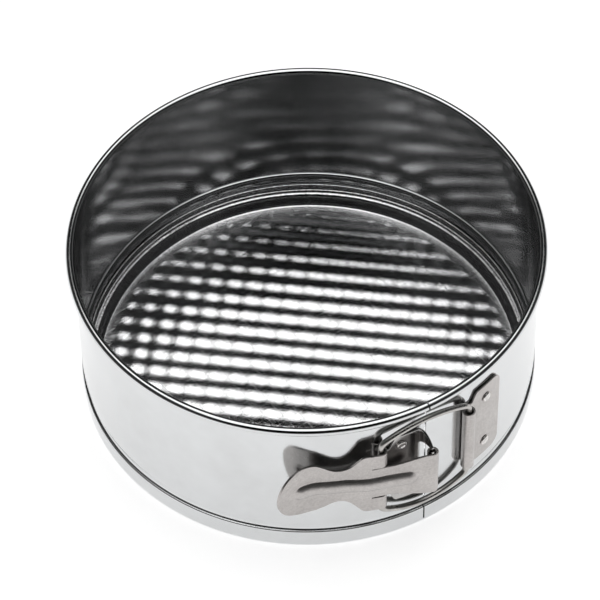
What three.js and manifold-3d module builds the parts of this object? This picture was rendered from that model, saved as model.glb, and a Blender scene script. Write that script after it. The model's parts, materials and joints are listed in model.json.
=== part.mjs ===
// Springform cake pan: a loose base held in a split, sprung ring that an over-centre latch pulls shut.
// Millimetres, +Z up. The origin is the centre of the base's underside, and the latch faces -Y.
// Angles round the pan are degrees from -Y towards +X.
import * as THREE from 'three';
import { mergeVertices } from 'three/addons/utils/BufferGeometryUtils.js';
import Module from 'manifold-3d';

const wasm = await Module();
wasm.setup();

// ---- driving dimensions ----
const GAP = 0.3;                 // clearance between separate pieces that touch
const SEGMENTS = 60;             // facets round the pan

const SHEET = 0.5;               // ring sheet
const WALL_R = 90.05;            // middle of the ring's wall
const BAND_R = 90.45;            // middle of the stepped-out band under the groove
const RIM_Z = 74.4;              // centre of the rolled rim
const RIM_R = 91.5;
const FOOT_R = 88.3;             // centre of the rolled foot
const FOOT_TALL = 1.13;          // the foot's roll is taller than it is wide
const GROOVE_Z = 12.4;           // the pressed-in groove that keeps the base down
const GROOVE_DEPTH = 1.5;
const GROOVE_HALF = 2.7;
const SEAM_HALF = 0.15;          // half of the closed seam

const BASE_SHEET = 0.8;
const BASE_FLOOR_Z = 0.4;        // middle of the floor, whose underside stands on the table
const BASE_STEP_Z = 6.1;         // middle of the raised flange that rests on the rolled foot
const BASE_STEP_R = 84.95;
const BASE_FLOOR_R = 83.5;
const BASE_LIP_R = 88.75;        // middle of the upturned edge
const BASE_LIP_TOP = 9.3;

const LATCH_Z = 42.5;            // the latch's mid height
const PLATE = 0.8;               // sheet of the two riveted latch plates
const PLATE_R = WALL_R + SHEET / 2 + GAP + PLATE / 2;
const RIVET_HOLE_R = 1.5;
const RIVET_R = 1.2;
const RIVET_HEAD_R = 2.1;

const CATCH_START = 13.0;        // catch plate on the ring's right end
const CATCH_END = 24.4;
const CATCH_HALF = 21;
const CATCH_RIVET = { angle: 18.6, offset: 13.4 };
const BARREL_ANGLE = 11.5;
const BARREL_R = 2.15;           // middle of the curled sheet
const BARREL_HALF = 16.6;

const BRACKET_START = -10.4;     // hinge bracket on the ring's left end
const BRACKET_END = -2.2;
const BRACKET_HALF = 19.5;
const BRACKET_LEFT_HALF = 13.5;
const BRACKET_RIVET = { angle: -6.6, offset: 14.2 };
const PIVOT = new THREE.Vector2(-0.85, -97.5);
const PIVOT_R = 0.95;            // rolled edge of the bracket that the lever turns on
const EAR_INNER = 12.2;          // the ears stand above and below the lever's curl
const EAR_OUTER = 18.5;

const LEVER = 0.9;               // lever sheet
const LEVER_R = 93.4;
const FLARE_START = -26.5;
const FLARE = 0.1; // outward per degree squared, over the finger end
const LEVER_CURL_R = 1.75;
const LEVER_CURL_HALF = 11.3;
const LEVER_WAIST_HALF = 9.2;
const SLIT_HALF = 8.6;
const SLIT = 0.6;
const SLIT_END_X = -24;
const WING_HALF = 16.6;
const KNUCKLE_ANGLE = -12.3;
const KNUCKLE_CENTRE_R = 93.1;
const KNUCKLE_R = 2.1;
const RIB_HALF = 4.2;
const RIB_HEIGHT = 1.1;

const WIRE_R = 1.2;
const WIRE_LEG_HALF = 17;        // straight stretch inside the barrel and the knuckles
const WIRE_CORNER = 3.0;
const WIRE_BOW = 29.5;           // control height that spreads the two long sides apart
const WIRE_BOW_Y = -92.8;

// ---- helpers ----
const rad = THREE.MathUtils.degToRad;
const lerp = THREE.MathUtils.lerp;
const polar = (radius, angle) => new THREE.Vector2(
  radius * Math.sin(rad(angle)),
  -radius * Math.cos(rad(angle)),
);

function arc(cx, cy, radius, start, end, steps) {
  return Array.from({ length: steps + 1 }, (_, i) => {
    const a = rad(lerp(start, end, i / steps));
    return new THREE.Vector2(cx + radius * Math.cos(a), cy + radius * Math.sin(a));
  });
}

// Concentric arc round the pan; the radius may change evenly along it.
function ringArc(startR, endR, start, end, steps) {
  return Array.from({ length: steps + 1 }, (_, i) => (
    polar(lerp(startR, endR, i / steps), lerp(start, end, i / steps))
  ));
}

// Closed outline of a sheet whose middle follows the line.
function sheetOutline(line, thickness) {
  const normals = line.map((_, i) => {
    const before = line[Math.max(i - 1, 0)];
    const after = line[Math.min(i + 1, line.length - 1)];
    const along = after.clone().sub(before).normalize();
    return new THREE.Vector2(-along.y, along.x);
  });
  const side = (sign) => line.map((p, i) => p.clone().addScaledVector(normals[i], (sign * thickness) / 2));
  return [...side(1), ...side(-1).reverse()];
}

function toManifold(geometry) {
  const bare = geometry.clone();
  bare.deleteAttribute('normal');
  bare.deleteAttribute('uv');
  const merged = mergeVertices(bare, 1e-4);
  const index = Array.from(merged.index.array);
  const triangles = [];
  for (let i = 0; i < index.length; i += 3) {
    const [a, b, c] = index.slice(i, i + 3);
    if (a !== b && b !== c && c !== a) triangles.push(a, b, c);
  }
  const vertices = merged.attributes.position.array;
  if (signedVolume(vertices, triangles) < 0) triangles.reverse();
  return new wasm.Manifold(new wasm.Mesh({
    numProp: 3,
    vertProperties: new Float32Array(vertices),
    triVerts: new Uint32Array(triangles),
  }));
}

function signedVolume(vertices, triangles) {
  const corner = (i) => new THREE.Vector3().fromArray(vertices, 3 * triangles[i]);
  let total = 0;
  for (let i = 0; i < triangles.length; i += 3) {
    total += corner(i).dot(corner(i + 1).cross(corner(i + 2))) / 6;
  }
  return total;
}

function toGeometry(manifold) {
  const { vertProperties, triVerts } = manifold.getMesh();
  const geometry = new THREE.BufferGeometry();
  geometry.setAttribute('position', new THREE.BufferAttribute(new Float32Array(vertProperties), 3));
  geometry.setIndex(new THREE.BufferAttribute(new Uint32Array(triVerts), 1));
  geometry.computeVertexNormals();
  return geometry;
}

// A closed profile of radius and height turned about Z.
function turned(outline) {
  const geometry = new THREE.LatheGeometry([...outline, outline[0].clone()], SEGMENTS);
  geometry.rotateX(Math.PI / 2);
  return toManifold(geometry);
}

// A plan outline raised from one height to another.
function raised(outline, low, high) {
  const geometry = new THREE.ExtrudeGeometry(new THREE.Shape(outline), {
    depth: high - low,
    bevelEnabled: false,
  });
  geometry.translate(0, 0, low);
  return toManifold(geometry);
}

// A front outline (x, height above the latch's middle) pushed right through the latch along Y.
function frontPrism(outline) {
  const near = -110;
  const far = -70;
  const geometry = new THREE.ExtrudeGeometry(new THREE.Shape(outline), {
    depth: far - near,
    bevelEnabled: false,
  });
  geometry.rotateX(Math.PI / 2);
  geometry.translate(0, far, LATCH_Z);
  return toManifold(geometry);
}

function radialCylinder(radius, angle, z, innerR, outerR) {
  const geometry = new THREE.CylinderGeometry(radius, radius, outerR - innerR, 16);
  const centre = polar((innerR + outerR) / 2, angle);
  geometry.rotateZ(rad(angle));
  geometry.translate(centre.x, centre.y, z);
  return toManifold(geometry);
}

function rivetHoles({ angle, offset }) {
  const drill = (sign) => radialCylinder(RIVET_HOLE_R, angle, LATCH_Z + sign * offset, 86, 96);
  return drill(-1).add(drill(1));
}

const mirrored = (half) => [...half, ...half.map((p) => new THREE.Vector2(p.x, -p.y)).reverse()];
const points = (pairs) => pairs.map(([x, y]) => new THREE.Vector2(x, y));

// ---- ring ----
function ringSection() {
  const rimR = RIM_R - WALL_R;
  const footR = BAND_R - FOOT_R;
  const steps = 6;
  const groove = Array.from({ length: steps + 1 }, (_, i) => {
    const t = i / steps;
    const side = lerp(WALL_R, BAND_R, t);
    const press = GROOVE_DEPTH * Math.sin(Math.PI * t) ** 1.5;
    return new THREE.Vector2(side - press, GROOVE_Z + GROOVE_HALF * (1 - 2 * t));
  });
  return sheetOutline([
    ...arc(RIM_R, RIM_Z, rimR, -145, 180, 9),
    ...groove,
    ...arc(FOOT_R, footR, footR, 0, -285, 9).map(({ x, y }) => new THREE.Vector2(x, SHEET / 2 + FOOT_TALL * y)),
  ], SHEET);
}

function ringHalf(side) {
  const box = new THREE.BoxGeometry(100, 200, 100);
  box.translate(side * (50 + SEAM_HALF), 0, 45);
  const half = turned(ringSection()).intersect(toManifold(box));
  return half.subtract(rivetHoles(side < 0 ? BRACKET_RIVET : CATCH_RIVET));
}

// ---- base ----
function base() {
  const fillet = 1.0;
  const lipBend = 0.9;
  const line = [
    new THREE.Vector2(0, BASE_FLOOR_Z),
    ...arc(BASE_FLOOR_R, BASE_FLOOR_Z + fillet, fillet, -90, -12, 2),
    new THREE.Vector2(BASE_STEP_R - 0.1, BASE_STEP_Z - fillet),
    ...arc(BASE_STEP_R + fillet, BASE_STEP_Z - fillet, fillet, 168, 90, 2),
    ...arc(BASE_LIP_R - lipBend, BASE_STEP_Z + lipBend, lipBend, -90, 0, 2),
    new THREE.Vector2(BASE_LIP_R, BASE_LIP_TOP),
  ];
  const outline = sheetOutline(line, BASE_SHEET);
  outline[0].x = 0;
  outline[outline.length - 1].x = 0;
  return turned(outline);
}

// ---- catch plate ----
function catchPlate() {
  const barrel = polar(PLATE_R + BARREL_R, BARREL_ANGLE);
  const curl = arc(barrel.x, barrel.y, BARREL_R, 400 + BARREL_ANGLE, 90 + BARREL_ANGLE, 14);
  const plan = sheetOutline([
    ...curl,
    ...ringArc(PLATE_R, PLATE_R, CATCH_START, CATCH_END, 5),
  ], PLATE);
  const left = barrel.x - 5;
  const neck = polar(PLATE_R, CATCH_START + 1.6).x;
  const right = polar(PLATE_R, CATCH_END).x + 1;
  const corner = 2.6;
  const front = mirrored([
    ...points([[left, BARREL_HALF], [neck - 1.4, BARREL_HALF]]),
    ...arc(neck + 1.6, CATCH_HALF - corner, corner, 180, 90, 3),
    ...arc(right - 1 - corner, CATCH_HALF - corner, corner, 90, 0, 3),
  ]);
  return raised(plan, LATCH_Z - CATCH_HALF, LATCH_Z + CATCH_HALF)
    .intersect(frontPrism(front))
    .subtract(rivetHoles(CATCH_RIVET));
}

// ---- hinge bracket ----
function hingeBracket() {
  const wallEnd = polar(PLATE_R, BRACKET_END);
  const plateLine = ringArc(PLATE_R, PLATE_R, BRACKET_START, BRACKET_END, 4);
  const ear = new THREE.QuadraticBezierCurve(
    wallEnd,
    new THREE.Vector2(wallEnd.x + 2.6, wallEnd.y - 0.6),
    PIVOT,
  ).getPoints(6).slice(1);
  const left = polar(PLATE_R, BRACKET_START).x - 1;
  const shoulder = polar(PLATE_R, BRACKET_START + 2.6).x;
  const front = mirrored(points([
    [left, BRACKET_LEFT_HALF],
    [shoulder - 2.2, BRACKET_LEFT_HALF],
    [shoulder, BRACKET_HALF - 1.2],
    [shoulder + 1.8, BRACKET_HALF],
    [wallEnd.x + 1, BRACKET_HALF],
  ]));
  const plate = raised(sheetOutline(plateLine, PLATE), LATCH_Z - BRACKET_HALF, LATCH_Z + BRACKET_HALF)
    .intersect(frontPrism(front))
    .subtract(rivetHoles(BRACKET_RIVET));
  const earOutline = sheetOutline([plateLine[plateLine.length - 2], ...[wallEnd, ...ear]], PLATE);
  const upper = raised(earOutline, LATCH_Z + EAR_INNER, LATCH_Z + EAR_OUTER);
  const lower = raised(earOutline, LATCH_Z - EAR_OUTER, LATCH_Z - EAR_INNER);
  const roll = raised(
    arc(PIVOT.x, PIVOT.y, PIVOT_R, 0, 345, 23),
    LATCH_Z - EAR_OUTER,
    LATCH_Z + EAR_OUTER,
  );
  return plate.add(upper).add(lower).add(roll);
}

// ---- lever ----
function leverArc() {
  const flared = [-35.75, -34.3, -32.8, -31.2, -29.6, -28].map((angle) => (
    polar(LEVER_R + FLARE * (FLARE_START - angle) ** 2, angle)
  ));
  return [
    ...flared,
    ...ringArc(LEVER_R, LEVER_R, FLARE_START, -21, 2),
    ...ringArc(LEVER_R + 0.3, LEVER_R + 1.45, -19.3, -15, 3),
  ];
}

function leverCurlLine() {
  const start = -110;
  const tangent = arc(PIVOT.x, PIVOT.y, LEVER_CURL_R, start, start + 1, 1)[0];
  const straight = new THREE.QuadraticBezierCurve(
    polar(LEVER_R + 1.6, -12),
    new THREE.Vector2(-17, -93.5),
    tangent,
  ).getPoints(5);
  return [
    ...leverArc(),
    ...straight.slice(0, -1),
    ...arc(PIVOT.x, PIVOT.y, LEVER_CURL_R, start, 150, 14),
  ];
}

function leverKnuckleLine() {
  const centre = polar(KNUCKLE_CENTRE_R, KNUCKLE_ANGLE);
  const start = KNUCKLE_ANGLE - 90;
  return [
    ...leverArc().slice(-3),
    ...arc(centre.x, centre.y, KNUCKLE_R, start, start + 245, 14),
  ];
}

function leverFront() {
  const lobe = new THREE.Vector2(-46, 0);
  const lobeSide = arc(0, 0, 1, 180, 62, 9).map((p) => (
    new THREE.Vector2(lobe.x + 13.6 * p.x, 13.7 * p.y)
  ));
  return mirrored([
    ...lobeSide.slice(1),
    ...points([
      [-37.2, LEVER_WAIST_HALF + 0.5],
      [-34.4, LEVER_WAIST_HALF],
      [-31.4, 10.6],
      [-28.9, 13.8],
      [-27.2, WING_HALF - 0.4],
      [-25.9, WING_HALF],
      [SLIT_END_X, WING_HALF],
      [SLIT_END_X, SLIT_HALF],
      [-17, SLIT_HALF],
      [-8, LEVER_CURL_HALF - 1],
      [-3, LEVER_CURL_HALF],
      [6, LEVER_CURL_HALF],
    ]),
  ]);
}

function lever() {
  const low = LATCH_Z - WING_HALF - 1;
  const high = LATCH_Z + WING_HALF + 1;
  const body = raised(sheetOutline(leverCurlLine(), LEVER), low, high).intersect(frontPrism(leverFront()));
  const knuckle = raised(sheetOutline(leverKnuckleLine(), PLATE), low, high);
  const wing = (sign) => knuckle.intersect(frontPrism(points([
    [SLIT_END_X - 0.8, sign * (SLIT_HALF + SLIT)],
    [-12, sign * (SLIT_HALF + SLIT)],
    [-12, sign * WING_HALF],
    [SLIT_END_X - 0.8, sign * WING_HALF],
  ])));
  return body.add(wing(1)).add(wing(-1)).add(rib());
}

function rib() {
  const line = leverCurlLine().filter((p) => p.x < -4);
  const outward = line.map((p) => p.clone().setLength(p.length() + LEVER / 2 + RIB_HEIGHT / 2 - 0.1));
  const solid = raised(sheetOutline(outward, RIB_HEIGHT + 0.2), LATCH_Z - RIB_HALF - 1, LATCH_Z + RIB_HALF + 1);
  const front = [
    ...arc(-48.6, 0, RIB_HALF, 90, 270, 8),
    ...arc(-10.5, 0, RIB_HALF, -90, 90, 8),
  ];
  return solid.intersect(frontPrism(front));
}

// ---- wire link ----
function wireSide(sign) {
  const knuckle = polar(KNUCKLE_CENTRE_R, KNUCKLE_ANGLE);
  const barrel = polar(PLATE_R + BARREL_R, BARREL_ANGLE);
  const at = (p, height) => new THREE.Vector3(p.x, p.y, LATCH_Z + sign * height);
  const bow = at(new THREE.Vector2((knuckle.x + barrel.x) / 2, WIRE_BOW_Y), WIRE_BOW);
  const cornerHeight = WIRE_LEG_HALF + WIRE_CORNER;
  const corners = [knuckle, barrel].map((p) => at(p, cornerHeight));
  const exits = corners.map((c) => c.clone().add(bow.clone().sub(c).setLength(WIRE_CORNER)));
  return [
    ...new THREE.QuadraticBezierCurve3(at(knuckle, WIRE_LEG_HALF), corners[0], exits[0]).getPoints(5),
    ...new THREE.QuadraticBezierCurve3(exits[0], bow, exits[1]).getPoints(9).slice(1),
    ...new THREE.QuadraticBezierCurve3(exits[1], corners[1], at(barrel, WIRE_LEG_HALF)).getPoints(5).slice(1),
  ];
}

// A round wire along a closed loop of points that stands nearly in the XZ plane.
function closedWire(loop, radius, sides) {
  const depth = new THREE.Vector3(0, 1, 0);
  const positions = [];
  const index = [];
  loop.forEach((p, i) => {
    const before = loop[(i + loop.length - 1) % loop.length];
    const after = loop[(i + 1) % loop.length];
    const along = after.clone().sub(before).normalize();
    const across = along.clone().cross(depth).normalize();
    const up = across.clone().cross(along);
    for (let k = 0; k < sides; k += 1) {
      const a = (2 * Math.PI * k) / sides;
      const vertex = p.clone().addScaledVector(across, radius * Math.cos(a)).addScaledVector(up, radius * Math.sin(a));
      positions.push(vertex.x, vertex.y, vertex.z);
      const next = ((i + 1) % loop.length) * sides;
      const turn = (k + 1) % sides;
      index.push(i * sides + k, next + k, next + turn);
      index.push(i * sides + k, next + turn, i * sides + turn);
    }
  });
  const geometry = new THREE.BufferGeometry();
  geometry.setAttribute('position', new THREE.Float32BufferAttribute(positions, 3));
  geometry.setIndex(index);
  return toManifold(geometry);
}

const wireLink = () => closedWire([...wireSide(1), ...wireSide(-1).reverse()], WIRE_R, 8);

// ---- rivets ----
function rivet({ angle, offset }, sign) {
  const outer = PLATE_R + PLATE / 2 + GAP;
  const inner = WALL_R - SHEET / 2 - GAP;
  const profile = points([
    [0, inner - 0.5],
    [RIVET_HEAD_R - 0.2, inner - 0.5],
    [RIVET_HEAD_R, inner],
    [RIVET_R, inner],
    [RIVET_R, outer],
    [RIVET_HEAD_R, outer],
    [RIVET_HEAD_R - 0.3, outer + 0.6],
    [RIVET_HEAD_R - 0.9, outer + 0.95],
    [0, outer + 1.05],
  ]);
  const geometry = new THREE.LatheGeometry(profile, 12);
  geometry.rotateZ(Math.PI + rad(angle));
  geometry.translate(0, 0, LATCH_Z + sign * offset);
  return toManifold(geometry);
}

// ---- finishes ----
const steel = (color, roughness) => new THREE.MeshStandardMaterial({ color, roughness, metalness: 1 });
const polished = steel(0xd8d9da, 0.08);
const drawn = steel(0xc4c4c4, 0.2);
const satin = steel(0xb3aca6, 0.45);

const pieces = [
  ['base_disc', base(), polished],
  ['band_left', ringHalf(-1), polished],
  ['band_right', ringHalf(1), polished],
  ['hinge_bracket', hingeBracket(), satin],
  ['lever', lever(), satin],
  ['wire_link', wireLink(), drawn],
  ['catch_plate', catchPlate(), satin],
  ['bracket_rivet_upper', rivet(BRACKET_RIVET, 1), satin],
  ['bracket_rivet_lower', rivet(BRACKET_RIVET, -1), satin],
  ['catch_rivet_upper', rivet(CATCH_RIVET, 1), satin],
  ['catch_rivet_lower', rivet(CATCH_RIVET, -1), satin],
];

const pan = new THREE.Group();
for (const [name, solid, material] of pieces) {
  const mesh = new THREE.Mesh(toGeometry(solid), material);
  mesh.name = name;
  pan.add(mesh);
}

export default pan;
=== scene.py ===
"""Looks of the springform pan: fine sheet-metal pieces, procedural steels, a pale floor and soft light.

The pan's axis is Z and the latch faces -Y. Angles round the pan are degrees from -Y towards +X.
Sizes are named in millimetres, and meshes are built in metres.
"""
import json
import math

import bmesh
import bpy
import numpy as np
from mathutils import Matrix, Vector


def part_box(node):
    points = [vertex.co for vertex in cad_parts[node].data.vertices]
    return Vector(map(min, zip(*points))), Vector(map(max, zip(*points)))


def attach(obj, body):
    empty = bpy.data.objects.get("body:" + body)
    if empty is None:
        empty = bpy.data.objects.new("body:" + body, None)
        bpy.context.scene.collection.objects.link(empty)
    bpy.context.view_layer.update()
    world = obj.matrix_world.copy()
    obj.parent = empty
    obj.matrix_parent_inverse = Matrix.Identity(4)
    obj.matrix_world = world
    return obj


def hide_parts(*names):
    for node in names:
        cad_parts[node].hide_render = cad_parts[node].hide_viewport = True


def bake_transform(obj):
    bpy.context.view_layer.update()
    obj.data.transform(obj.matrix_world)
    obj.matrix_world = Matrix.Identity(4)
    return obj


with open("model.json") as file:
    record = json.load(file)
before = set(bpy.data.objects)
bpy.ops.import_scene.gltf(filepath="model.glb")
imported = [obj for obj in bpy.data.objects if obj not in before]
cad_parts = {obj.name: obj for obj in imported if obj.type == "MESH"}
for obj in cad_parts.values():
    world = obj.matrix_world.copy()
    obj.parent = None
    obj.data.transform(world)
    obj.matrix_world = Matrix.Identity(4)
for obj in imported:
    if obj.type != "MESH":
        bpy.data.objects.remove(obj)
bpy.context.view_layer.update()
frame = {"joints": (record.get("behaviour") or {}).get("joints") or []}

MM = 0.001
JOINTS = {joint["name"]: joint for joint in frame["joints"]}

# ---- sizes shared with the frame, in millimetres ----
RING_SHEET = 0.5
RIM_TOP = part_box("band_left")[1].z / MM
RIM_ROLL = 1.45
RIM_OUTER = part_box("band_right")[1].x / MM
RIM_R = RIM_OUTER - RIM_ROLL - RING_SHEET / 2
WALL_R = RIM_R - RIM_ROLL
RIM_Z = RIM_TOP - RIM_ROLL - RING_SHEET / 2
BAND_STEP = 0.4
BAND_R = WALL_R + BAND_STEP
FOOT_ROLL = 2.15
FOOT_R = BAND_R - FOOT_ROLL
FOOT_TALL = 1.13   # the foot's roll is taller than it is wide
GROOVE_Z = 12.4
GROOVE_DEPTH = 1.5
GROOVE_HALF = 2.7
GROOVE_POWER = 2.6   # above two, the shoulders are squarer than a half round's
SEAM_HALF = 0.3

BASE_SHEET = 0.5
BASE_LIP_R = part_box("base_disc")[1].x / MM - 0.4
BASE_LIP_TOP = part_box("base_disc")[1].z / MM - 0.12
BASE_LIP_MID_Z = 8.2
BASE_LIP_ROLL = 0.42
BASE_LIP_BEND = 1.5
BASE_FLANGE_R = 87.0
BASE_STEP_R = 85.1
BASE_STEP_Z = 6.3
BASE_STEP_BEND = 1.7
FLOOR_Z = 0.62   # middle of the floor's sheet
FLOOR_R = 83.5
FLOOR_BEND = 1.5

PATTERN_R = 81.6
PATTERN_EDGE = 2.4   # over which the pressing dies out
PATTERN_PITCH = 8.15
PATTERN_HEIGHT = 0.195   # of the waves across the bands, above and below the middle
PATTERN_SHARE = 0.78   # of that height, for the waves along the bands
PATTERN_TURN = -36.8   # of the bands, in degrees
PATTERN_PHASE = (-149.5, 52.6)   # in degrees, along and across the bands

PLATE = 0.8
PLATE_GAP = 0.3
PLATE_R = WALL_R + RING_SHEET / 2 + PLATE_GAP + PLATE / 2
LATCH_Z = JOINTS["lever_pivot"]["pos_m"][2] / MM
PIVOT = np.array(JOINTS["lever_pivot"]["pos_m"][:2]) / MM
BARREL = np.array(JOINTS["link_pivot"]["pos_m"][:2]) / MM
BARREL_ANGLE = math.degrees(math.atan2(BARREL[0], -BARREL[1]))
BARREL_ROLL = 2.15

# ---- camera and light: angles in degrees, edges as a direction's share along an axis ----
CAMERA_AZIMUTH = -28.5
CAMERA_ELEVATION = 50.33
CAMERA_ROLL = -1.17
CAMERA_DISTANCE = 1.35   # in metres
CAMERA_LENS = 205.6
CAMERA_TARGET = (-2.91, 40.48)   # in millimetres, right of the axis and above the table
LIGHT = 1.7
LIGHT_LOW_EDGE = (0.760, 0.805)   # upwards, where the soft light starts
LIGHT_NEAR_EDGE = (-0.34, -0.24)   # away from the camera, how far it reaches forward over the pan
LIGHT_SIDE_EDGE = (0.26, 0.54)   # sideways, where it ends
ROOM_DARK = 0.006
ROOM_SIDE = 0.035
ROOM_SIDE_EDGE = (0.3, 0.8)
ROOM_LOW = 0.10
ROOM_LOW_EDGE = (0.05, 0.45)
FLOOR_GLOW = 0.74


# ---- plane curves ----
def polar(radius, angle):
    """A point on a circle round the pan, angle in degrees from -Y towards +X."""
    a = math.radians(angle)
    return np.array([radius * math.sin(a), -radius * math.cos(a)])


def round_direction(angle):
    """The direction round the pan at an angle, towards growing angles."""
    a = math.radians(angle)
    return Vector((math.cos(a), math.sin(a), 0))


def arc(centre, radius, start, end, steps):
    angles = np.radians(np.linspace(start, end, steps + 1))
    return np.array(centre) + radius * np.stack([np.cos(angles), np.sin(angles)], axis=1)


def ring_arc(start_r, end_r, start, end, steps):
    share = np.linspace(0, 1, steps + 1)
    return np.array([polar(start_r + (end_r - start_r) * t, start + (end - start) * t) for t in share])


def bezier(a, b, c, steps):
    t = np.linspace(0, 1, steps + 1)[:, None]
    return (1 - t) ** 2 * np.array(a) + 2 * t * (1 - t) * np.array(b) + t * t * np.array(c)


def smooth_through(points, per_span=12):
    """A Catmull-Rom curve through the points."""
    p = np.array([points[0], *points, points[-1]], float)
    out = [p[1]]
    for i in range(1, len(p) - 2):
        for t in np.linspace(0, 1, per_span + 1)[1:]:
            a = 2 * p[i]
            b = (p[i + 1] - p[i - 1]) * t
            c = (2 * p[i - 1] - 5 * p[i] + 4 * p[i + 1] - p[i + 2]) * t * t
            d = (3 * p[i] - p[i - 1] - 3 * p[i + 1] + p[i + 2]) * t ** 3
            out.append((a + b + c + d) / 2)
    return np.array(out)


def directions(line, closed=False):
    """Unit direction at each point of a line."""
    if closed:
        along = np.roll(line, -1, axis=0) - np.roll(line, 1, axis=0)
    else:
        along = np.gradient(line, axis=0)
    return along / np.linalg.norm(along, axis=1, keepdims=True)


def smoothstep(low, high, value):
    t = np.clip((value - low) / (high - low), 0, 1)
    return t * t * (3 - 2 * t)


class Path:
    """A plan line that a bent sheet follows, measured by its length."""

    def __init__(self, line):
        self.line = np.array(line, float)
        steps = np.linalg.norm(np.diff(self.line, axis=0), axis=1)
        self.lengths = np.concatenate([[0], np.cumsum(steps)])
        self.total = self.lengths[-1]
        along = directions(self.line)
        self.normals = np.stack([along[:, 1], -along[:, 0]], axis=1)

    def at(self, s):
        place = [np.interp(s, self.lengths, self.line[:, k]) for k in range(2)]
        normal = [np.interp(s, self.lengths, self.normals[:, k]) for k in range(2)]
        normal = np.stack(normal, axis=-1)
        return np.stack(place, axis=-1), normal / np.linalg.norm(normal, axis=-1, keepdims=True)

    def length_at_x(self, x):
        """The length where the line first reaches x."""
        i = int(np.argmax(self.line[:, 0] >= x))
        a, b = self.line[i - 1, 0], self.line[i, 0]
        return self.lengths[i - 1] + (self.lengths[i] - self.lengths[i - 1]) * (x - a) / (b - a)


# ---- meshes ----
def new_object(name, vertices, faces, material, smooth=True):
    mesh = bpy.data.meshes.new(name)
    mesh.from_pydata([tuple(v) for v in vertices], [], [tuple(int(i) for i in f) for f in faces])
    mesh.polygons.foreach_set("use_smooth", [smooth] * len(mesh.polygons))
    mesh.materials.append(material)
    mesh.validate()
    piece = bpy.data.objects.new(name, mesh)
    bpy.context.scene.collection.objects.link(piece)
    return piece


def outward(piece):
    """Turns the faces outwards and joins doubled points."""
    work = bmesh.new()
    work.from_mesh(piece.data)
    bmesh.ops.remove_doubles(work, verts=work.verts, dist=1e-7)
    bmesh.ops.recalc_face_normals(work, faces=work.faces)
    work.to_mesh(piece.data)
    work.free()
    return piece


def apply_modifiers(piece):
    graph = bpy.context.evaluated_depsgraph_get()
    mesh = bpy.data.meshes.new_from_object(piece.evaluated_get(graph))
    piece.modifiers.clear()
    piece.data = mesh
    mesh.polygons.foreach_set("use_smooth", [True] * len(mesh.polygons))
    return piece


def thicken(piece, thickness, round_edge=0.16):
    """Gives a middle surface its sheet thickness and rounded cut edges."""
    solid = piece.modifiers.new("sheet", "SOLIDIFY")
    solid.thickness = thickness * MM
    solid.offset = 0
    solid.use_even_offset = True
    bevel = piece.modifiers.new("edge", "BEVEL")
    bevel.width = round_edge * MM
    bevel.segments = 2
    bevel.limit_method = "ANGLE"
    bevel.angle_limit = math.radians(50)
    return apply_modifiers(piece)


def grid_faces(rows, columns, first=0):
    faces = []
    for i in range(rows - 1):
        for j in range(columns - 1):
            a = first + i * columns + j
            b = a + columns
            faces.append((a, a + 1, b + 1, b))
    return faces


def round_faces(rings, sides, first=0, closed=False):
    """Faces between neighbouring rings of points. Closed, the last ring meets the first."""
    faces = []
    for i in range(rings if closed else rings - 1):
        a = first + i * sides
        b = first + (i + 1) % rings * sides
        for j in range(sides):
            k = (j + 1) % sides
            faces.append((a + j, b + j, b + k, a + k))
    return faces


def lathe(name, outline, angles, material, cap_at=None):
    """A closed outline of radius and height, turned through the angles.

    It has exact normals, so that neighbouring pieces of one surface shade without a break. cap_at is the end,
    0 or -1, where the sheet is cut.
    """
    count = len(outline)
    turns = len(angles)

    def placed(pairs, angle):
        a = math.radians(angle)
        return [(r * math.sin(a), -r * math.cos(a), z) for r, z in pairs]

    vertices = [v for angle in angles for v in placed(outline * MM, angle)]
    faces = []
    for a in range(0, (turns - 1) * count, count):
        for j in range(count):
            k = (j + 1) % count
            faces.append((a + j, a + k, a + count + k, a + count + j))
    along = directions(np.array(outline), closed=True)
    across = np.stack([-along[:, 1], along[:, 0]], axis=1)
    normals = [n for angle in angles for n in placed(across, angle)]
    if cap_at is not None:
        angle = angles[cap_at]
        side = (1 if cap_at else -1) * round_direction(angle)
        first = len(vertices)
        vertices += placed(outline * MM, angle)
        normals += [side] * count
        for j in range(count // 2 - 1):
            quad = [first + k for k in (j, j + 1, count - 2 - j, count - 1 - j)]
            faces.append(quad if cap_at else quad[::-1])
    piece = new_object(name, vertices, faces, material)
    piece.data.normals_split_custom_set_from_vertices(normals)
    return piece


def sheet_outline(line, thickness):
    """Closed outline of a sheet about its middle line, with as many points on each side."""
    along = directions(line)
    across = np.stack([-along[:, 1], along[:, 0]], axis=1) * thickness / 2
    return np.concatenate([line + across, (line - across)[::-1]])


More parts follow.
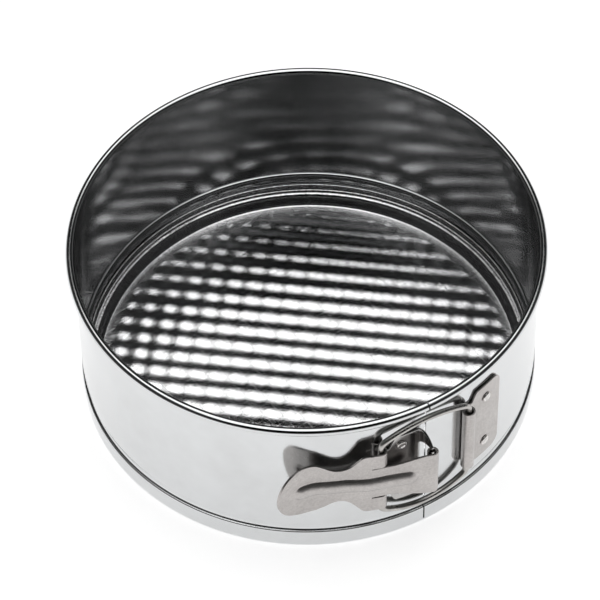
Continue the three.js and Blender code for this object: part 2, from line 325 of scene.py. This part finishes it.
# ---- materials ----
class Nodes:
    """A short way to write node trees."""

    def __init__(self, name):
        self.material = bpy.data.materials.new(name)
        self.material.use_nodes = True
        self.tree = self.material.node_tree
        self.shader = self.tree.nodes["Principled BSDF"]
        self.position = self.tree.nodes.new("ShaderNodeTexCoord").outputs["Object"]

    def link(self, source, target):
        self.tree.links.new(source, target)

    def stretched(self, scale):
        node = self.tree.nodes.new("ShaderNodeMapping")
        node.inputs["Scale"].default_value = scale
        self.link(self.position, node.inputs["Vector"])
        return node.outputs["Vector"]

    def noise(self, scale, detail, rough, vector=None):
        node = self.tree.nodes.new("ShaderNodeTexNoise")
        node.inputs["Scale"].default_value = scale
        node.inputs["Detail"].default_value = detail
        node.inputs["Roughness"].default_value = rough
        self.link(vector or self.position, node.inputs["Vector"])
        return node.outputs["Fac"]

    def spread(self, value, low, high, to_low, to_high):
        node = self.tree.nodes.new("ShaderNodeMapRange")
        node.inputs["From Min"].default_value = low
        node.inputs["From Max"].default_value = high
        node.inputs["To Min"].default_value = to_low
        node.inputs["To Max"].default_value = to_high
        self.link(value, node.inputs["Value"])
        return node.outputs["Result"]

    def maths(self, operation, a, b):
        node = self.tree.nodes.new("ShaderNodeMath")
        node.operation = operation
        for socket, value in zip(node.inputs, (a, b)):
            if isinstance(value, float):
                socket.default_value = value
            else:
                self.link(value, socket)
        return node.outputs["Value"]

    def tint(self, value, low_colour, high_colour):
        node = self.tree.nodes.new("ShaderNodeMix")
        node.data_type = "RGBA"
        node.inputs["A"].default_value = (*low_colour, 1)
        node.inputs["B"].default_value = (*high_colour, 1)
        self.link(value, node.inputs["Factor"])
        return node.outputs["Result"]

    def bump(self, height, distance, under=None):
        """Bump of a height in metres, on top of another one."""
        node = self.tree.nodes.new("ShaderNodeBump")
        node.inputs["Distance"].default_value = distance
        self.link(height, node.inputs["Height"])
        if under:
            self.link(under, node.inputs["Normal"])
        return node.outputs["Normal"]

    def finish(self, colour, roughness, normal):
        self.shader.inputs["Metallic"].default_value = 1.0
        self.link(colour, self.shader.inputs["Base Color"])
        self.link(roughness, self.shader.inputs["Roughness"])
        self.link(normal, self.shader.inputs["Normal"])
        return self.material


def polished_sheet():
    """Bright rolled sheet: nearly a mirror, with soft waves, faint smudges and hairline scratches."""
    n = Nodes("polished_sheet")
    smudge = n.noise(34, 5, 0.62)
    hairline = n.noise(90, 4, 0.7, n.stretched((1, 1, 30)))
    colour = n.tint(n.spread(smudge, 0.35, 0.75, 0, 1), (0.66, 0.67, 0.675), (0.60, 0.607, 0.61))
    worn = n.spread(smudge, 0.4, 0.8, 0.11, 0.18)
    roughness = n.maths("ADD", worn, n.spread(hairline, 0.55, 0.8, 0, 0.05))
    waves = n.bump(n.noise(22, 1.5, 0.4), 0.00022)
    fine = n.bump(n.noise(900, 2, 0.5), 0.0000012, under=waves)
    return n.finish(colour, roughness, fine)


def embossed_tin():
    """Bright plated sheet of the base, with a fine orange-peel grain and thin creases along the pattern."""
    n = Nodes("embossed_tin")
    turned = n.tree.nodes.new("ShaderNodeMapping")
    turned.inputs["Rotation"].default_value = (0, 0, -math.radians(PATTERN_TURN + 45))
    along, across = (phase / 360 * PATTERN_PITCH * MM / math.sqrt(2) for phase in PATTERN_PHASE)
    turned.inputs["Location"].default_value = (along + across, across - along, 0)
    n.link(n.position, turned.inputs["Vector"])
    split = n.tree.nodes.new("ShaderNodeSeparateXYZ")
    n.link(turned.outputs["Vector"], split.inputs["Vector"])
    pitch = PATTERN_PITCH * MM / math.sqrt(2)
    creases = None
    for axis in ("X", "Y"):
        cell = n.maths("PINGPONG", n.maths("ADD", split.outputs[axis], pitch / 2), pitch / 2)
        line = n.spread(cell, 0.0, 0.00016, 1, 0)
        creases = line if creases is None else n.maths("MAXIMUM", creases, line)
    speckle = n.noise(1500, 2, 0.6)
    smudge = n.noise(28, 4, 0.6)
    colour = n.tint(n.spread(speckle, 0.3, 0.72, 0, 1), (0.80, 0.80, 0.805), (0.66, 0.66, 0.665))
    roughness = n.maths("ADD", n.spread(smudge, 0.4, 0.8, 0.06, 0.12), n.spread(speckle, 0.5, 0.8, 0, 0.05))
    grain = n.bump(n.noise(750, 4, 0.65), 0.00010)
    peel = n.bump(n.noise(2100, 2, 0.6), 0.00006, under=grain)
    lines = n.bump(creases, 0.00002, under=peel)
    return n.finish(colour, roughness, lines)


def satin_steel():
    """Stamped satin steel of the latch, with a fine warm grain, faint rubs and drawing lines."""
    n = Nodes("satin_steel")
    grain = n.noise(1100, 5, 0.75)
    rub = n.noise(70, 5, 0.65)
    drawn = n.noise(260, 4, 0.6, n.stretched((1, 1, 9)))
    shade = n.maths("ADD", n.spread(grain, 0.33, 0.67, 0, 0.65), n.spread(rub, 0.35, 0.75, 0, 0.35))
    colour = n.tint(shade, (0.54, 0.515, 0.50), (0.35, 0.33, 0.32))
    roughness = n.maths("ADD", n.spread(rub, 0.3, 0.8, 0.25, 0.38), n.spread(drawn, 0.4, 0.8, 0, 0.06))
    rough_skin = n.bump(grain, 0.00003)
    lines = n.bump(drawn, 0.000010, under=rough_skin)
    return n.finish(colour, roughness, lines)


def bracket_steel_painted_shade():
    """Smoother steel of the hinge bracket, tinted darker than the lever's as painted shade, with faint
    drawing lines and rubs.
    """
    n = Nodes("bracket_steel_painted_shade")
    rub = n.noise(110, 5, 0.65)
    drawn = n.noise(300, 4, 0.6, n.stretched((1, 1, 8)))
    # The tint, darker than the lever's satin steel, is painted shade.
    colour = n.tint(n.spread(rub, 0.3, 0.75, 0, 1), (0.50, 0.49, 0.48), (0.34, 0.33, 0.325))
    roughness = n.maths("ADD", n.spread(rub, 0.3, 0.8, 0.12, 0.24), n.spread(drawn, 0.4, 0.8, 0, 0.05))
    return n.finish(colour, roughness, n.bump(drawn, 0.000008))


def drawn_wire():
    """Bright drawn wire, a little darker than the sheet, with fine lengthwise lines."""
    n = Nodes("drawn_wire")
    lines = n.noise(1400, 3, 0.6, n.stretched((0.12, 1, 1)))
    rub = n.noise(160, 4, 0.6)
    colour = n.tint(n.spread(rub, 0.35, 0.75, 0, 1), (0.52, 0.505, 0.485), (0.36, 0.35, 0.335))
    roughness = n.maths("ADD", n.spread(rub, 0.3, 0.8, 0.24, 0.36), n.spread(lines, 0.5, 0.9, 0, 0.08))
    return n.finish(colour, roughness, n.bump(lines, 0.000008))


def rivet_steel():
    """Peened rivet head: soft hammer marks, in a lighter tint than the plates."""
    n = Nodes("rivet_steel")
    marks = n.noise(900, 3, 0.55)
    colour = n.tint(n.spread(marks, 0.35, 0.7, 0, 1), (0.72, 0.70, 0.68), (0.52, 0.50, 0.485))
    roughness = n.spread(marks, 0.3, 0.8, 0.18, 0.34)
    return n.finish(colour, roughness, n.bump(marks, 0.00004))


# ---- ring ----
def ring_line():
    """Middle line of the ring's sheet, from the rolled rim down to the rolled foot."""
    turn = np.linspace(0, np.pi, 33)
    share = (1 - np.cos(turn)) / 2
    side = WALL_R + (BAND_R - WALL_R) * share
    press = GROOVE_DEPTH * (1 - np.abs(np.cos(turn)) ** GROOVE_POWER) ** (1 / GROOVE_POWER)
    groove = np.stack([side - press, GROOVE_Z + GROOVE_HALF * (1 - 2 * share)], axis=1)
    wall = np.stack([np.full(9, WALL_R), np.linspace(RIM_Z, GROOVE_Z + GROOVE_HALF, 11)[1:-1]], axis=1)
    foot = arc((FOOT_R, FOOT_ROLL), FOOT_ROLL, 0, -290, 26) * (1, FOOT_TALL) + (0, RING_SHEET / 2)
    band_z = np.linspace(GROOVE_Z - GROOVE_HALF, foot[0, 1], 7)[1:-1]
    band = np.stack([np.full(5, BAND_R), band_z], axis=1)
    return np.concatenate([
        arc((RIM_R, RIM_Z), RIM_ROLL, -150, 180, 30),
        wall,
        groove,
        band,
        foot,
    ])


def build_ring(material):
    outline = sheet_outline(ring_line(), RING_SHEET)
    end = math.degrees(SEAM_HALF / WALL_R)
    parts = (
        ("ring_front_left", np.linspace(-90, -end, 121), -1, "ring_left", "band_left"),
        ("ring_front_right", np.linspace(end, 90, 121), 0, "ring_right", "band_right"),
        ("ring_back", np.linspace(90, 270, 241), None, None, None),
    )
    for name, angles, cap_at, body, node in parts:
        piece = lathe(name, outline, angles, material, cap_at)
        if body:
            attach(piece, body)
            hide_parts(node)
        else:
            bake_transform(piece)


# ---- base ----
def pattern_height(x, y):
    """Pressed squares, alternately raised and sunken, in millimetres about the middle of the floor."""
    turn = math.radians(PATTERN_TURN)
    u = x * math.cos(turn) + y * math.sin(turn)
    v = -x * math.sin(turn) + y * math.cos(turn)
    phase_u, phase_v = np.radians(PATTERN_PHASE)
    along = PATTERN_SHARE * np.cos(2 * np.pi * u / PATTERN_PITCH + phase_u)
    wave = along + np.cos(2 * np.pi * v / PATTERN_PITCH + phase_v)
    fade = 1 - smoothstep(PATTERN_R - PATTERN_EDGE, PATTERN_R, np.hypot(x, y))
    return PATTERN_HEIGHT * wave * fade


def base_rings():
    """Radius and height of the sheet outside the pattern, from the floor's edge to the lip."""
    floor = np.stack([np.linspace(PATTERN_R, FLOOR_R, 4), np.full(4, FLOOR_Z)], axis=1)
    return np.concatenate([
        floor[:-1],
        arc((FLOOR_R, FLOOR_Z + FLOOR_BEND), FLOOR_BEND, -90, -8, 9),
        arc((BASE_STEP_R + BASE_STEP_BEND, BASE_STEP_Z - BASE_STEP_BEND), BASE_STEP_BEND, 168, 90, 7),
        np.array([[BASE_FLANGE_R, BASE_STEP_Z]]),
        arc((BASE_LIP_R - BASE_LIP_BEND, BASE_STEP_Z + BASE_LIP_BEND), BASE_LIP_BEND, -90, 0, 7),
        np.array([[BASE_LIP_R, BASE_LIP_MID_Z]]),
        arc((BASE_LIP_R - BASE_LIP_ROLL, BASE_LIP_TOP - 0.1), BASE_LIP_ROLL, 0, 235, 10),
    ])


def build_base(material):
    """One sheet: a patterned floor of square cells inside rings that follow the rim."""
    turns = 480
    middle_r = 0.35
    rings = base_rings()
    patterned = np.arange(middle_r, PATTERN_R, PATTERN_PITCH / 13)
    radii = np.concatenate([patterned, rings[:, 0]])
    heights = np.concatenate([np.full(len(patterned), FLOOR_Z), rings[:, 1]])
    angles = np.linspace(0, 2 * np.pi, turns, endpoint=False)
    x = np.outer(radii, np.cos(angles))
    y = np.outer(radii, np.sin(angles))
    z = heights[:, None] + np.where(radii[:, None] < PATTERN_R, pattern_height(x, y), 0)
    centre = (0, 0, (FLOOR_Z + pattern_height(0.0, 0.0)) * MM)
    vertices = [centre, *(np.stack([x, y, z], axis=-1).reshape(-1, 3) * MM)]
    faces = [(0, 1 + j, 1 + (j + 1) % turns) for j in range(turns)]
    faces += round_faces(len(radii), turns, first=1)
    piece = new_object("base_sheet", vertices, faces, material)
    thicken(piece, BASE_SHEET, 0.1)
    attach(piece, "base")
    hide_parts("base_disc")


# ---- bent sheet pieces of the latch ----
def sheet_patch(path, columns, row_heights, rise=None):
    """Grid of points over a bent sheet.

    row_heights gives each column's heights, and rise a bulge along the normal.
    """
    place, normal = path.at(columns)
    z = np.array([row_heights(s) for s in columns])
    bulge = np.zeros_like(z) if rise is None else rise(columns[:, None] + 0 * z, z)
    x = place[:, 0][:, None] + normal[:, 0][:, None] * bulge
    y = place[:, 1][:, None] + normal[:, 1][:, None] * bulge
    return np.stack([x, y, z + LATCH_Z], axis=-1) * MM


def join_patches(name, patches, material):
    vertices, faces = [], []
    for patch in patches:
        rows, columns = patch.shape[:2]
        faces += grid_faces(rows, columns, first=len(vertices))
        vertices += [tuple(v) for v in patch.reshape(-1, 3)]
    return outward(new_object(name, vertices, faces, material))


LEVER = 0.9
LEVER_R = 93.4
LEVER_START = -35.75   # round the pan, the tip of the finger lobe
FLARE_START = -26.5
FLARE = 0.1   # outwards, per degree squared past the start
KICK = 1.45   # outwards again, before the wings
LEVER_CURL = 1.75
LEVER_CURL_HALF = 11.3
SLIT_HALF = 8.6
SLIT = 0.5
SLIT_X = -24.0
WING_HALF = 16.6
KNUCKLE_ANGLE = -12.3
KNUCKLE_CENTRE_R = 93.1
KNUCKLE_ROLL = 2.1
RIB_HALF = 3.7
RIB_HEIGHT = 2.0
RIB_START = -48.6   # along X
RIB_END = -10.5
RIB_FILLET = 0.01   # softens the rib's foot
CURL_STEPS = 30


def lever_arc():
    angles = np.linspace(LEVER_START, -15, 84)
    lift = FLARE * np.maximum(FLARE_START - angles, 0) ** 2 + KICK * smoothstep(-21.5, -14, angles)
    return np.array([polar(LEVER_R + out, angle) for out, angle in zip(lift, angles)])


def lever_main_path():
    start = -110
    tangent = arc(PIVOT, LEVER_CURL, start, start, 0)[0]
    straight = bezier(polar(LEVER_R + 1.6, -12), (-17.0, -93.5), tangent, 16)
    return Path(np.concatenate([
        lever_arc(),
        straight[:-1],
        arc(PIVOT, LEVER_CURL, start, 150, CURL_STEPS),
    ]))


def lever_wing_path():
    centre = polar(KNUCKLE_CENTRE_R, KNUCKLE_ANGLE)
    start = KNUCKLE_ANGLE - 90
    return Path(np.concatenate([lever_arc(), arc(centre, KNUCKLE_ROLL, start, start + 245, CURL_STEPS)]))


def lever_half_height():
    """Half height of the lever along X, from the finger lobe to the wings."""
    lobe_x, lobe_r, lobe_half = -46.0, 13.6, 13.8
    turn = np.radians(np.linspace(180, 78, 40))
    x = lobe_x + lobe_r * np.cos(turn)
    h = lobe_half * np.sin(turn)
    rest = smooth_through([
        (x[-1], h[-1]),
        (-40.6, 12.0),
        (-37.6, 9.9),
        (-34.6, 9.2),
        (-31.6, 10.5),
        (-28.9, 13.8),
        (-27.4, 15.9),
        (-25.9, WING_HALF),
        (SLIT_X, WING_HALF),
    ])
    return np.concatenate([x, rest[1:, 0]]), np.concatenate([h, rest[1:, 1]])


def rib_rise(path):
    """Raised rib with an arched section and round ends along the lever."""
    first = path.length_at_x(RIB_START)
    last = path.length_at_x(RIB_END)

    def rise(s, z):
        beyond = np.maximum(np.maximum(first - s, s - last), 0)
        away = np.hypot(beyond, z) / RIB_HALF
        arch = 1 - away ** 2
        return RIB_HEIGHT * (arch + np.sqrt(arch ** 2 + RIB_FILLET)) / (1 + math.sqrt(1 + RIB_FILLET))

    return rise


def build_lever(material):
    main, wing = lever_main_path(), lever_wing_path()
    outline_x, outline_h = lever_half_height()
    slit_s = main.length_at_x(SLIT_X)
    tip = 0.4 * (1 - np.cos(np.linspace(0, np.pi / 2, 9)))
    body_columns = np.concatenate([tip[1:], np.arange(0.9, slit_s - 0.25, 0.45), [slit_s]])
    inner = np.linspace(-1, 1, 41)
    outer = np.linspace(0, 1, 13)[1:]
    tip_share = 0.62
    slit_share = SLIT_HALF / WING_HALF

    def body_rows(s):
        x = main.at(np.array([s]))[0][0, 0]
        half = max(float(np.interp(x, outline_x, outline_h)), 0.05)
        share = smoothstep(0, 1, s / slit_s)
        middle = half * (tip_share + (slit_share - tip_share) * share)
        gap = SLIT * share * half / WING_HALF
        up = middle + gap + (half - middle - gap) * outer
        edge = middle + gap
        return np.concatenate([-up[::-1], [-edge], middle * inner, [edge], up])

    rise = rib_rise(main)
    body = sheet_patch(main, body_columns, body_rows, rise)
    curl_s = main.lengths[-CURL_STEPS - 1]
    strip_columns = np.concatenate([
        np.linspace(slit_s, curl_s, 46),
        np.linspace(curl_s, main.total, CURL_STEPS + 1)[1:],
    ])
    flare_start, flare_end = main.length_at_x(-17), main.length_at_x(-3)

    def strip_rows(s):
        half = SLIT_HALF + (LEVER_CURL_HALF - SLIT_HALF) * smoothstep(flare_start, flare_end, s)
        return half * inner

    strip = sheet_patch(main, strip_columns, strip_rows, rise)
    knuckle_s = wing.lengths[-CURL_STEPS - 1]
    wing_columns = np.concatenate([
        np.linspace(slit_s, knuckle_s, 22),
        np.linspace(knuckle_s, wing.total, CURL_STEPS + 1)[1:],
    ])
    edges = SLIT_HALF + SLIT
    up = edges + (WING_HALF - edges) * np.concatenate([[0], outer])
    wings = [sheet_patch(wing, wing_columns, lambda s, rows=rows: rows) for rows in (up, -up[::-1])]
    piece = join_patches("lever_plate", [body, strip, *wings], material)
    thicken(piece, LEVER)
    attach(piece, "lever")
    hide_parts("lever")


CATCH_START = 13.0
CATCH_END = 23.7
CATCH_HALF = 21.0
CATCH_RIVET = (18.6, 13.4)
BARREL_HALF = 16.6
BRACKET_START = -10.4
BRACKET_END = -2.2
BRACKET_HALF = 19.5
BRACKET_LEFT_HALF = 13.5
BRACKET_RIVET = (-6.6, 14.2)
PIVOT_ROLL = 0.95
EAR_INNER = 12.2
DIMPLE = 0.35


def dimples(path, rivet):
    """Shallow dishes round a plate's two rivets, pressed towards the ring."""
    angle, offset = rivet
    place = polar(PLATE_R, angle)
    at = path.lengths[np.argmin(np.linalg.norm(path.line - place, axis=1))]

    def rise(s, z):
        away = np.minimum(np.hypot(s - at, z - offset), np.hypot(s - at, z + offset))
        return -DIMPLE * (1 - smoothstep(1.7, 3.1, away))

    return rise


def build_catch_plate(material):
    curl = arc(BARREL, BARREL_ROLL, 400 + BARREL_ANGLE, 90 + BARREL_ANGLE, 44)
    plate = ring_arc(PLATE_R, PLATE_R, CATCH_START, CATCH_END, 40)
    path = Path(np.concatenate([curl, plate]))
    plate_s = path.lengths[len(curl)]
    neck = plate_s + 0.4
    corner = 4.2

    def half(s):
        if s < neck:
            return BARREL_HALF
        shoulder = BARREL_HALF + (CATCH_HALF - BARREL_HALF) * smoothstep(neck, neck + 3.4, s)
        left = path.total - s
        if left < corner:
            shoulder -= corner - math.sqrt(max(corner ** 2 - (corner - left) ** 2, 0))
        return shoulder

    columns = np.concatenate([
        np.linspace(0, neck, 48),
        np.linspace(neck, path.total - corner, 36)[1:],
        path.total - corner * (1 - np.sin(np.linspace(0, np.pi / 2, 9)))[1:],
    ])
    patch = sheet_patch(path, columns, lambda s: half(s) * np.linspace(-1, 1, 81), dimples(path, CATCH_RIVET))
    piece = join_patches("catch_plate_sheet", [patch], material)
    thicken(piece, PLATE)
    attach(piece, "ring_right")
    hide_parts("catch_plate")


def build_bracket(material):
    wall_end = polar(PLATE_R, BRACKET_END)
    plate_steps = 30
    plate = ring_arc(PLATE_R, PLATE_R, BRACKET_START, BRACKET_END, plate_steps)
    ear = bezier(wall_end, wall_end + np.array([2.6, -0.6]), PIVOT, 24)
    path = Path(np.concatenate([plate, ear[1:]]))
    plate_end = path.lengths[plate_steps]
    shoulder = 4.0

    def half(s):
        return BRACKET_LEFT_HALF + (BRACKET_HALF - BRACKET_LEFT_HALF) * smoothstep(0.6, shoulder, s)

    columns = np.linspace(0, plate_end, 34)
    row_count = 79
    rows = np.linspace(-1, 1, row_count)
    plate_patch = sheet_patch(path, columns, lambda s: half(s) * rows, dimples(path, BRACKET_RIVET))
    top_row = np.argmin(np.abs(BRACKET_HALF * rows - EAR_INNER))
    tongue = path.total - 1.2
    ear_columns = np.concatenate([
        np.linspace(plate_end, tongue, 20),
        np.linspace(tongue + 0.1, path.total, 4),
    ])

    def ear_rows(s):
        """Heights of the upper ear, which narrows to a tongue inside the lever's curl."""
        share = (s - plate_end) / (path.total - plate_end)
        top = BRACKET_HALF + (EAR_INNER + 0.6 - BRACKET_HALF) * share ** 1.4
        low = BRACKET_HALF * rows[top_row] if s <= tongue else EAR_INNER - 1.6
        return np.linspace(low, top, row_count - top_row)

    upper = sheet_patch(path, ear_columns, ear_rows)
    lower = sheet_patch(path, ear_columns, lambda s: -ear_rows(s)[::-1])
    piece = join_patches("bracket_sheet", [plate_patch, upper, lower], material)
    thicken(piece, PLATE)
    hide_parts("hinge_bracket")
    for part in (piece, turned_rod("bracket_roll", PIVOT, PIVOT_ROLL, EAR_INNER - 1.3, material)):
        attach(part, "ring_left")


def turned_rod(name, centre, radius, half_length, material):
    """The rolled edge that the lever turns on, with softened ends."""
    ease = 0.25
    profile = [
        (radius - ease, -half_length),
        (radius, -half_length + ease),
        *[(radius, z) for z in np.linspace(-half_length, half_length, 9)[1:-1]],
        (radius, half_length - ease),
        (radius - ease, half_length),
    ]
    sides = 28
    vertices = []
    for r, z in profile:
        for k in range(sides):
            a = 2 * math.pi * k / sides
            vertices.append((
                (centre[0] + r * math.cos(a)) * MM,
                (centre[1] + r * math.sin(a)) * MM,
                (LATCH_Z + z) * MM,
            ))
    faces = round_faces(len(profile), sides)
    faces.append(range(sides))
    faces.append(range(len(vertices) - sides, len(vertices)))
    return outward(new_object(name, vertices, faces, material))


# ---- wire link ----
WIRE_R = 1.2
WIRE_LEG_HALF = 17.0
WIRE_CORNER = 3.0
WIRE_BOW = 29.5
WIRE_BOW_Y = -92.8


def wire_side(sign):
    knuckle = polar(KNUCKLE_CENTRE_R, KNUCKLE_ANGLE)

    def at(p, height):
        return np.array([p[0], p[1], LATCH_Z + sign * height])

    bow = at(((knuckle[0] + BARREL[0]) / 2, WIRE_BOW_Y), WIRE_BOW)
    corners = [at(p, WIRE_LEG_HALF + WIRE_CORNER) for p in (knuckle, BARREL)]
    exits = [c + (bow - c) / np.linalg.norm(bow - c) * WIRE_CORNER for c in corners]
    return np.concatenate([
        bezier(at(knuckle, WIRE_LEG_HALF), corners[0], exits[0], 14),
        bezier(exits[0], bow, exits[1], 40)[1:],
        bezier(exits[1], corners[1], at(BARREL, WIRE_LEG_HALF), 14)[1:],
    ])


def build_wire(material):
    top, bottom = wire_side(1), wire_side(-1)[::-1]
    loop = np.concatenate([
        top,
        np.linspace(top[-1], bottom[0], 26)[1:-1],
        bottom,
        np.linspace(bottom[-1], top[0], 26)[1:-1],
    ])
    along = directions(loop, closed=True)
    across = np.cross(along, (0, 1, 0))
    across /= np.linalg.norm(across, axis=1, keepdims=True)
    up = np.cross(across, along)
    sides = 20
    turn = 2 * np.pi * np.arange(sides) / sides
    rings = loop[:, None] + WIRE_R * (
        across[:, None] * np.cos(turn)[None, :, None] + up[:, None] * np.sin(turn)[None, :, None]
    )
    faces = round_faces(len(loop), sides, closed=True)
    piece = outward(new_object("wire_loop", rings.reshape(-1, 3) * MM, faces, material))
    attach(piece, "wire")
    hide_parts("wire_link")


# ---- rivets ----
def build_rivet(name, rivet, sign, body, material):
    """A domed rivet through its plate and the ring, with a flat head inside the pan."""
    angle, offset = rivet
    shank = 1.15
    outer = PLATE_R + PLATE / 2 - DIMPLE
    inner = WALL_R - RING_SHEET / 2
    head = [(1.5, -0.42), (1.9, -0.30), (1.95, -0.02), (shank, 0)]
    crown = [
        (shank, 0),
        (1.82, 0.02),
        (2.03, 0.20),
        (2.07, 0.45),
        (1.98, 0.72),
        (1.73, 0.94),
        (1.44, 1.00),
        (1.20, 0.93),
        (1.00, 0.80),
        (0.6, 0.74),
    ]
    profile = [(r, inner + h) for r, h in head] + [(r, outer + h) for r, h in crown]
    sides = 32
    out = Vector((*polar(1.0, angle), 0))
    along = round_direction(angle)
    up = Vector((0, 0, 1))
    middle = up * (LATCH_Z + sign * offset)
    vertices = []
    for r, depth in profile:
        for k in range(sides):
            a = 2 * math.pi * k / sides
            vertices.append((middle + out * depth + along * r * math.cos(a) + up * r * math.sin(a)) * MM)
    faces = round_faces(len(profile), sides)
    for depth, first in ((inner - 0.44, 0), (profile[-1][1], len(vertices) - sides)):
        centre = len(vertices)
        vertices.append((middle + out * depth) * MM)
        faces += [(centre, first + k, first + (k + 1) % sides) for k in range(sides)]
    piece = outward(new_object(name + "_head", vertices, faces, material))
    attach(piece, body)
    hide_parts(name)


# ---- studio ----
def camera_axes():
    """Right, up and back of the photograph's view."""
    a, e = math.radians(CAMERA_AZIMUTH), math.radians(CAMERA_ELEVATION)
    back = Vector((math.sin(a) * math.cos(e), -math.cos(a) * math.cos(e), math.sin(e)))
    level = Vector((math.cos(a), math.sin(a), 0))
    rise = back.cross(level)
    roll = math.radians(CAMERA_ROLL)
    right = level * math.cos(roll) + rise * math.sin(roll)
    up = rise * math.cos(roll) - level * math.sin(roll)
    return level, right, up, back


def build_camera():
    level, right, up, back = camera_axes()
    data = bpy.data.cameras.new("camera")
    data.lens = CAMERA_LENS
    data.sensor_width = 36
    data.clip_start = 0.05
    data.clip_end = 50
    camera = bpy.data.objects.new("camera", data)
    bpy.context.scene.collection.objects.link(camera)
    target = level * CAMERA_TARGET[0] * MM + Vector((0, 0, CAMERA_TARGET[1] * MM))
    place = target + back * CAMERA_DISTANCE
    camera.matrix_world = Matrix((
        (right.x, up.x, back.x, place.x),
        (right.y, up.y, back.y, place.y),
        (right.z, up.z, back.z, place.z),
        (0, 0, 0, 1),
    ))
    bpy.context.scene.camera = camera


def build_floor():
    n = Nodes("studio_floor")
    n.shader.inputs["Roughness"].default_value = 0.9
    n.shader.inputs["Specular IOR Level"].default_value = 0.1
    n.link(n.tint(n.noise(3, 2, 0.5), (0.88, 0.88, 0.88), (0.90, 0.90, 0.90)), n.shader.inputs["Base Color"])
    n.shader.inputs["Emission Color"].default_value = (1, 1, 1, 1)
    n.shader.inputs["Emission Strength"].default_value = FLOOR_GLOW
    size = 6.0
    floor = new_object(
        "studio_floor",
        [(-size, -size, 0), (size, -size, 0), (size, size, 0), (-size, size, 0)],
        [(0, 1, 2, 3)],
        n.material,
        smooth=False,
    )


def build_world():
    """What the steel reflects: a wide soft light above and behind the pan, in a dim room.

    The room glows faintly low down and at the sides. The camera itself sees plain white.
    """
    world = bpy.data.worlds.new("studio_world")
    world.use_nodes = True
    tree = world.node_tree
    nodes, links = tree.nodes, tree.links
    background = nodes["Background"]
    direction = nodes.new("ShaderNodeTexCoord").outputs["Generated"]

    def towards(azimuth, elevation):
        """How far a ray's direction reaches along this one."""
        a, e = math.radians(azimuth), math.radians(elevation)
        dot = nodes.new("ShaderNodeVectorMath")
        dot.operation = "DOT_PRODUCT"
        dot.inputs[1].default_value = (math.sin(a) * math.cos(e), -math.cos(a) * math.cos(e), math.sin(e))
        links.new(direction, dot.inputs[0])
        return dot.outputs["Value"]

    def ramp(value, edge, low, high):
        node = nodes.new("ShaderNodeMapRange")
        node.interpolation_type = "SMOOTHSTEP"
        node.inputs["From Min"].default_value = edge[0]
        node.inputs["From Max"].default_value = edge[1]
        node.inputs["To Min"].default_value = low
        node.inputs["To Max"].default_value = high
        links.new(value, node.inputs["Value"])
        return node.outputs["Result"]

    def combine(operation, a, b=None):
        node = nodes.new("ShaderNodeMath")
        node.operation = operation
        links.new(a, node.inputs[0])
        if b:
            links.new(b, node.inputs[1])
        return node.outputs["Value"]

    height = towards(0, 90)
    behind = towards(CAMERA_AZIMUTH + 180, 0)
    aside = combine("ABSOLUTE", towards(CAMERA_AZIMUTH + 90, 0))
    light = combine("MULTIPLY", ramp(height, LIGHT_LOW_EDGE, 0, LIGHT), ramp(behind, LIGHT_NEAR_EDGE, 0, 1))
    light = combine("MULTIPLY", light, ramp(aside, LIGHT_SIDE_EDGE, 1, 0))
    sides = ramp(aside, ROOM_SIDE_EDGE, ROOM_DARK, ROOM_SIDE)
    room = combine("ADD", sides, ramp(height, ROOM_LOW_EDGE, ROOM_LOW, 0))
    path = nodes.new("ShaderNodeLightPath")
    seen = nodes.new("ShaderNodeMix")
    seen.data_type = "FLOAT"
    seen.inputs["B"].default_value = 1.0
    links.new(path.outputs["Is Camera Ray"], seen.inputs["Factor"])
    links.new(combine("ADD", light, room), seen.inputs["A"])
    links.new(seen.outputs["Result"], background.inputs["Strength"])
    background.inputs["Color"].default_value = (1, 1, 1, 1)
    bpy.context.scene.world = world


def build_studio():
    build_camera()
    build_floor()
    build_world()
    bpy.context.scene.view_settings.view_transform = "Standard"


build_studio()
ring_steel = polished_sheet()
tin = embossed_tin()
latch_steel = satin_steel()
rivet_material = rivet_steel()
build_ring(ring_steel)
build_base(tin)
build_lever(latch_steel)
build_catch_plate(latch_steel)
build_bracket(bracket_steel_painted_shade())
build_wire(drawn_wire())
for side, rivet, body in (("bracket", BRACKET_RIVET, "ring_left"), ("catch", CATCH_RIVET, "ring_right")):
    for level_name, sign in (("upper", 1), ("lower", -1)):
        build_rivet(f"{side}_rivet_{level_name}", rivet, sign, body, rivet_material)
